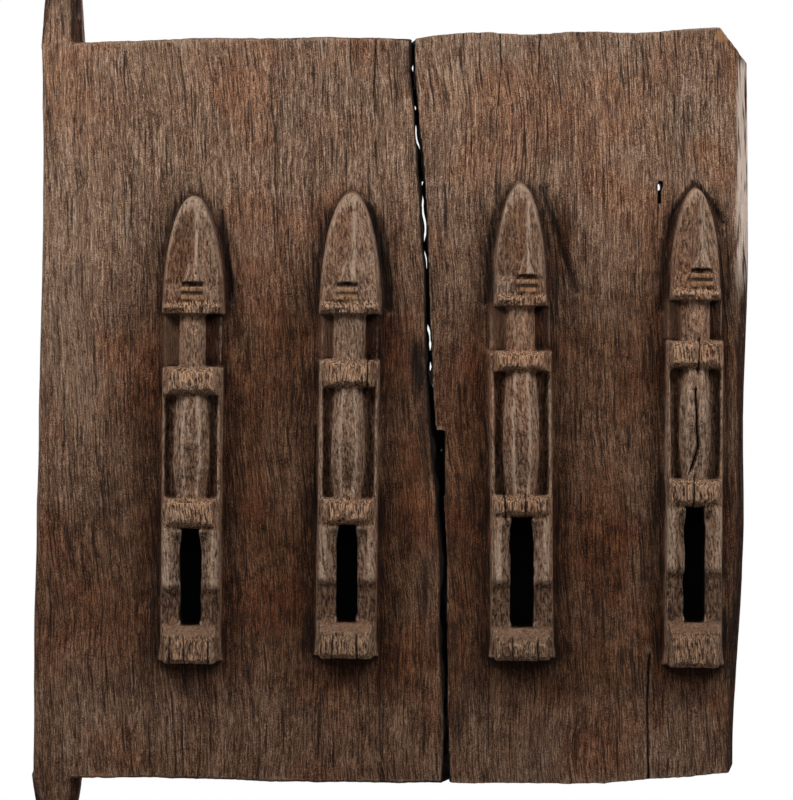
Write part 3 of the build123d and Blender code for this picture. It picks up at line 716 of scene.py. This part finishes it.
def carved_wood():
    """Weathered dark hardwood with a strong vertical grain, with painted light and shade in its colour."""
    material = bpy.data.materials.new("carved_wood")
    material.use_nodes = True
    tree = material.node_tree
    shader = tree.nodes["Principled BSDF"]
    fibres = grain_group()

    def grain(place, width, length, roughness=0.6):
        """Fibres of a width and a length."""
        made = placed(tree, "ShaderNodeGroup")
        made.node_tree = fibres
        tree.links.new(place, made.inputs["Place"])
        made.inputs["Width"].default_value = width
        made.inputs["Length"].default_value = length
        made.inputs["Roughness"].default_value = roughness
        return made.outputs["Fibre"]

    def patches(place, size, detail=2.0):
        """Soft patches of a size."""
        made = placed(tree, "ShaderNodeTexNoise", {"Vector": place, "Scale": 1 / size, "Detail": detail})
        return made.outputs["Fac"]

    def moved(operation, place, other):
        """A place worked on with another."""
        return placed(tree, "ShaderNodeVectorMath", {0: place, 1: other}, operation=operation).outputs[0]

    def shifted(place, size, amount):
        """A place pushed sideways by soft noise."""
        push = placed(tree, "ShaderNodeTexNoise", {"Vector": place, "Scale": 1 / size, "Detail": 1.0})
        push = moved("SUBTRACT", push.outputs["Color"], (0.5, 0.5, 0.5))
        return moved("ADD", place, moved("MULTIPLY", push, (amount, 0, 0)))

    def times(first, second):
        return reckoned(tree, "MULTIPLY", first, second)

    def plus(first, second):
        return reckoned(tree, "ADD", first, second)

    def less(first, second):
        return reckoned(tree, "SUBTRACT", first, second)

    def added(value, other, share):
        """A value with a share of another, centred on zero, added."""
        return plus(value, times(less(other, 0.5), share))

    def laid(colour, mask, share, paint, blend="MIX"):
        """A colour with a share of a paint laid on where the mask says."""
        return blended(tree, times(mask, share), colour, paint, blend)

    metres = placed(tree, "ShaderNodeTexCoord").outputs["Object"]
    place = moved("MULTIPLY", metres, (1 / MM, 1 / MM, 1 / MM))
    axes = placed(tree, "ShaderNodeSeparateXYZ", {0: place}).outputs
    leaning = plus(axes["X"], times(axes["Z"], 0.05))
    slanted = placed(tree, "ShaderNodeCombineXYZ", {"X": leaning, "Y": axes["Y"], "Z": axes["Z"]}).outputs[0]
    bent = shifted(shifted(slanted, 110.0, 14.0), 14.0, 1.4)
    raised = stored(tree, "raised")
    ground_shade = stored(tree, "ground_shade")
    ground = less(1.0, times(raised, 0.4))
    calm = plus(1.0, times(ground_shade, 0.1))

    # Grain: fibres of several sizes, pale threads, dark furrows and thin dark lines
    fine = grain(bent, 0.72, 7.0, 0.7)
    long_fibres = grain(bent, 0.8, 30.0, 0.6)
    middle_fibres = grain(bent, 2.0, 36.0, 0.55)
    coarse = grain(bent, 9.0, 130.0, 0.5)
    torn = grain(bent, 1.5, 5.0, 0.75)
    grit = patches(place, 0.8, 1.0)
    lines = times(between(tree, grain(bent, 1.5, 46.0, 0.4), 0.615, 0.67), ground)
    threads = reckoned(tree, "ABSOLUTE", less(grain(bent, 2.3, 30.0, 0.5), 0.5))
    furrows = reckoned(tree, "ABSOLUTE", less(grain(bent, 2.7, 38.0, 0.5), 0.47))
    streaks = added(0.0, fine, 1.35)
    streaks = added(streaks, long_fibres, 1.0)
    streaks = added(streaks, middle_fibres, 0.5)
    streaks = added(streaks, grit, 1.1)
    streaks = plus(streaks, times(between(tree, threads, 0.022, 0.0), 0.34))
    streaks = less(streaks, times(between(tree, furrows, 0.026, 0.0), 0.17))
    streaks = times(times(streaks, ground), calm)

    # The wood's own browns, redder and greyer in patches, and the painted shade over the ground
    value = plus(0.53, streaks)
    value = added(value, patches(slanted, 11.0, 3.0), times(ground_shade, 0.7))
    value = added(value, coarse, 0.4)
    value = added(value, patches(place, 34.0, 3.0), 0.25)
    value = added(value, torn, times(raised, 1.6))
    ramp = placed(tree, "ShaderNodeValToRGB", {"Fac": value})
    stops = ramp.color_ramp.elements
    stops[0].position, stops[0].color = 0.0, tone(34, 22, 16)
    stops[1].position, stops[1].color = 1.0, tone(196, 166, 142)
    for position, brown in ((0.3, tone(86, 62, 47)), (0.5, tone(116, 89, 71)), (0.72, tone(150, 120, 97))):
        stops.new(position).color = brown
    colour = ramp.outputs["Color"]
    red = between(tree, patches(bent, 60.0), 0.46, 0.66)
    grey = between(tree, patches(bent, 42.0, 4.0), 0.50, 0.68)
    colour = laid(colour, red, 0.8, (1.04, 0.83, 0.72, 1), "MULTIPLY")
    colour = laid(colour, grey, 0.6, (0.92, 0.98, 1.06, 1), "MULTIPLY")
    # Painted shade laid over the ground, darker low down and beside the figures
    colour = blended(tree, ground_shade, colour, (0.425, 0.30, 0.215, 1), "MULTIPLY")
    colour = laid(colour, lines, 0.8, tone(30, 20, 15))

    # Painted shade in the corners beside the carving and in its hollows, with dark streaks of it beside the
    # forms
    near = stored(tree, "near")
    wide = stored(tree, "wide")
    corner = reckoned(tree, "ADD", between(tree, near, -0.4, -4.0), between(tree, wide, -1.2, -9.0), True)
    colour = laid(colour, corner, 0.85, (0.26, 0.20, 0.17, 1), "MULTIPLY")
    # Dark grain streaks beside the forms, painted as shade
    beside = times(between(tree, wide, -0.4, -3.0), between(tree, grain(bent, 2.0, 40.0, 0.5), 0.50, 0.60))
    colour = laid(colour, beside, 0.8, tone(26, 18, 14))
    # Painted shade in the channels, belly, shins, inner legs, fronts of the feet and neck hollows
    colour = blended(tree, stored(tree, "painted_shade"), colour, (0.34, 0.28, 0.24, 1), "MULTIPLY")

    # The figures: rubbed pale where they stand out, chipped bands, darkened faces with painted shade and
    # painted highlight on their facets, pale edges partly painted as highlight, and dust
    proud = times(between(tree, near, 1.5, 6.0), between(tree, torn, 0.40, 0.62))
    colour = laid(colour, proud, 0.35, tone(158, 126, 102))
    flecks = plus(grain(bent, 2.4, 14.0, 0.7), times(torn, 0.5))
    pale = times(stored(tree, "pale"), between(tree, flecks, 0.66, 0.92))
    colour = laid(colour, pale, 0.6, tone(180, 153, 130))
    chips = grain(bent, 1.0, 10.0, 0.65)
    blocks = stored(tree, "blocks")
    tan = times(blocks, between(tree, chips, 0.49, 0.60))
    colour = laid(colour, tan, 0.9, tone(196, 154, 119))
    splits = times(blocks, between(tree, chips, 0.45, 0.37))
    colour = laid(colour, splits, 0.9, tone(44, 28, 20))
    colour = blended(tree, stored(tree, "face"), colour, (0.62, 0.54, 0.47, 1), "MULTIPLY")
    edge = times(stored(tree, "edges"), between(tree, flecks, 0.58, 0.82))
    colour = laid(colour, edge, 0.7, tone(198, 171, 148))
    colour = laid(colour, stored(tree, "dust"), 0.55, tone(118, 88, 68))

    # The pale bevel of the free edge, worn arrises, bare places and painted shade in the cuts
    bevel = times(stored(tree, "bevel"), between(tree, middle_fibres, 0.36, 0.50))
    colour = laid(colour, bevel, 0.85, tone(236, 214, 198))
    worn = between(tree, stored(tree, "wear"), 0.10, 0.5)
    worn = times(worn, between(tree, plus(torn, fine), 0.8, 1.15))
    colour = laid(colour, worn, 0.75, tone(172, 144, 122))
    bare = between(tree, plus(stored(tree, "bare"), times(torn, 0.8)), 0.75, 1.15)
    colour = laid(colour, bare, 0.55, tone(172, 124, 82))
    colour = laid(colour, stored(tree, "cut_shade"), 0.9, tone(16, 10, 8))

    # Painted shade in the cracks, and painted black in the slots between the legs
    side = added(stored(tree, "crack_offset"), grain(place, 3.0, 12.0), 2.4)
    crack_share = reckoned(tree, "DIVIDE", reckoned(tree, "ABSOLUTE", side), stored(tree, "crack_width"))
    crack = between(tree, crack_share, 0.55, 0.25)
    crack = times(crack, between(tree, stored(tree, "crack_reach"), 4.0, 1.5))
    colour = laid(colour, crack, 0.92, tone(16, 10, 8))
    colour = blended(tree, stored(tree, "slot_shade"), colour, tone(6, 4, 4))

    height = added(streaks, torn, times(raised, 2.4))
    height = less(height, times(lines, 0.5))
    height = less(less(height, splits), crack)
    bump = placed(tree, "ShaderNodeBump", {"Height": height, "Distance": 0.0014, "Strength": 0.9})
    rubbed = reckoned(tree, "MAXIMUM", worn, times(raised, 0.8))
    roughness = placed(tree, "ShaderNodeMapRange", {"Value": rubbed, "To Min": 0.82, "To Max": 0.5})
    tree.links.new(colour, shader.inputs["Base Color"])
    tree.links.new(bump.outputs["Normal"], shader.inputs["Normal"])
    tree.links.new(roughness.outputs["Result"], shader.inputs["Roughness"])
    shader.inputs["Specular IOR Level"].default_value = 0.12
    return material


wood = carved_wood()
for node, seed in (("left_plank", 11), ("right_plank", 71)):
    plank = plank_blank(node)
    hew(plank, seed)
    thin_out(plank)
    mark_surface(plank, seed)
    plank.data.materials.clear()
    plank.data.materials.append(wood)
    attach(plank, "root")
    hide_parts(node)


# The three staples across the split, on the back: bars of hand-forged iron with their ends bent over,
# pointed and driven into both planks. They are dark, hammered and rusted.
def forged_iron():
    """Dark rusted iron with a hammered skin."""
    material = bpy.data.materials.new("forged_iron")
    material.use_nodes = True
    tree = material.node_tree
    shader = tree.nodes["Principled BSDF"]
    metres = placed(tree, "ShaderNodeTexCoord").outputs["Object"]
    rust = placed(tree, "ShaderNodeTexNoise", {"Vector": metres, "Scale": 260.0, "Detail": 5.0})
    flaking = placed(tree, "ShaderNodeTexNoise", {"Vector": metres, "Scale": 900.0, "Detail": 3.0})
    flakes = flaking.outputs["Fac"]
    rusted = between(tree, rust.outputs["Fac"], 0.42, 0.62)
    colour = blended(tree, rusted, tone(56, 46, 42), tone(104, 62, 40))
    colour = blended(tree, between(tree, flakes, 0.52, 0.7), colour, tone(38, 28, 24))
    roughness = placed(tree, "ShaderNodeMapRange", {"Value": rusted, "To Min": 0.5, "To Max": 0.85})
    metal = placed(tree, "ShaderNodeMapRange", {"Value": rusted, "To Min": 0.8, "To Max": 0.05})
    bump = placed(tree, "ShaderNodeBump", {"Height": flakes, "Distance": 0.0004, "Strength": 0.6})
    tree.links.new(colour, shader.inputs["Base Color"])
    tree.links.new(roughness.outputs["Result"], shader.inputs["Roughness"])
    tree.links.new(metal.outputs["Result"], shader.inputs["Metallic"])
    tree.links.new(bump.outputs["Normal"], shader.inputs["Normal"])
    return material


iron = forged_iron()
for node in ("upper_staple", "middle_staple", "lower_staple"):
    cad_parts[node].material_slots[0].material = iron


# The studio: a pale floor that holds the shadow and fades to white, a white surround, a soft lamp at
# either side in front of the door and one behind it.
FLOOR_DROP = 0.0005
FLOOR_BACK = 0.30
FLOOR_FRONT = -2.6
FLOOR_SIDE = 1.6
FLOOR_SHADE = 0.32
FLOOR_GLOW = 0.75
FADE_START = 0.45
FADE_END = 1.1
AMBIENT = 0.10
LAMP_SIZE = 0.4

floor_level = cad_box[0][2] - FLOOR_DROP
middle = Vector(((cad_box[0][0] + cad_box[1][0]) / 2, 0, (cad_box[0][2] + cad_box[1][2]) / 2))
bpy.ops.mesh.primitive_plane_add(size=1, location=(middle.x, (FLOOR_BACK + FLOOR_FRONT) / 2, floor_level))
floor = bpy.context.object
floor.name = "floor"
floor.scale = (2 * FLOOR_SIDE, FLOOR_BACK - FLOOR_FRONT, 1)
bpy.ops.object.transform_apply(location=True, rotation=False, scale=True)
pale = bpy.data.materials.new("pale_floor")
pale.use_nodes = True
pale_tree = pale.node_tree
pale_shader = pale_tree.nodes["Principled BSDF"]
pale_shader.inputs["Base Color"].default_value = (FLOOR_SHADE, FLOOR_SHADE, FLOOR_SHADE, 1)
pale_shader.inputs["Roughness"].default_value = 0.9
pale_shader.inputs["Emission Color"].default_value = (1, 1, 1, 1)
seen = placed(pale_tree, "ShaderNodeLightPath").outputs["Is Camera Ray"]
spread = placed(
    pale_tree,
    "ShaderNodeVectorMath",
    {0: placed(pale_tree, "ShaderNodeTexCoord").outputs["Object"], 1: (middle.x, 0, floor_level)},
    operation="DISTANCE",
)
far = between(pale_tree, spread.outputs["Value"], FADE_START, FADE_END)
glow = reckoned(pale_tree, "ADD", FLOOR_GLOW, reckoned(pale_tree, "MULTIPLY", far, 1 - FLOOR_GLOW))
pale_tree.links.new(reckoned(pale_tree, "MULTIPLY", seen, glow), pale_shader.inputs["Emission Strength"])
floor.data.materials.append(pale)

world = bpy.data.worlds.new("white_surround")
bpy.context.scene.world = world
world.use_nodes = True
world_tree = world.node_tree
rays = placed(world_tree, "ShaderNodeLightPath").outputs
direct = reckoned(world_tree, "MAXIMUM", rays["Is Camera Ray"], rays["Is Glossy Ray"])
direct = reckoned(world_tree, "MAXIMUM", direct, rays["Is Transmission Ray"])
level = placed(world_tree, "ShaderNodeMapRange", {"Value": direct, "To Min": AMBIENT, "To Max": 1.0})
backdrop = world_tree.nodes["Background"]
backdrop.inputs["Color"].default_value = (1, 1, 1, 1)
world_tree.links.new(level.outputs["Result"], backdrop.inputs["Strength"])


def soft_lamp(name, place, power, size):
    """Square soft lamp that looks at the middle of the door."""
    bpy.ops.object.light_add(type="AREA", location=place)
    lamp = bpy.context.object
    lamp.name = name
    lamp.data.energy = power
    lamp.data.size = size
    lamp.rotation_euler = (middle - Vector(place)).to_track_quat("-Z", "Y").to_euler()


soft_lamp("left_lamp", (-0.50, -0.60, 1.05), 12.5, LAMP_SIZE)
soft_lamp("right_lamp", (1.00, -0.60, 1.05), 10.5, LAMP_SIZE)
soft_lamp("back_lamp", (0.10, 1.30, 1.00), 14, LAMP_SIZE)

# The camera stands square in front of the face, as the photograph was taken
VIEW_DISTANCE = 2.2
VIEW_HEIGHT = 0.56
VIEW_ACROSS = 0.2365
VIEW_UP = 0.3069
VIEW_TILT = -0.46
SENSOR_HEIGHT = 36
view_point = Vector((VIEW_ACROSS, -FACE * MM, VIEW_UP))
bpy.ops.object.camera_add(
    location=view_point + Vector((0, -VIEW_DISTANCE, 0)), rotation=(radians(90), radians(VIEW_TILT), 0)
)
camera = bpy.context.object
camera.data.sensor_fit = "VERTICAL"
camera.data.sensor_height = SENSOR_HEIGHT
camera.data.lens = SENSOR_HEIGHT * VIEW_DISTANCE / VIEW_HEIGHT
bpy.context.scene.camera = camera
bpy.context.scene.view_settings.view_transform = "Standard"
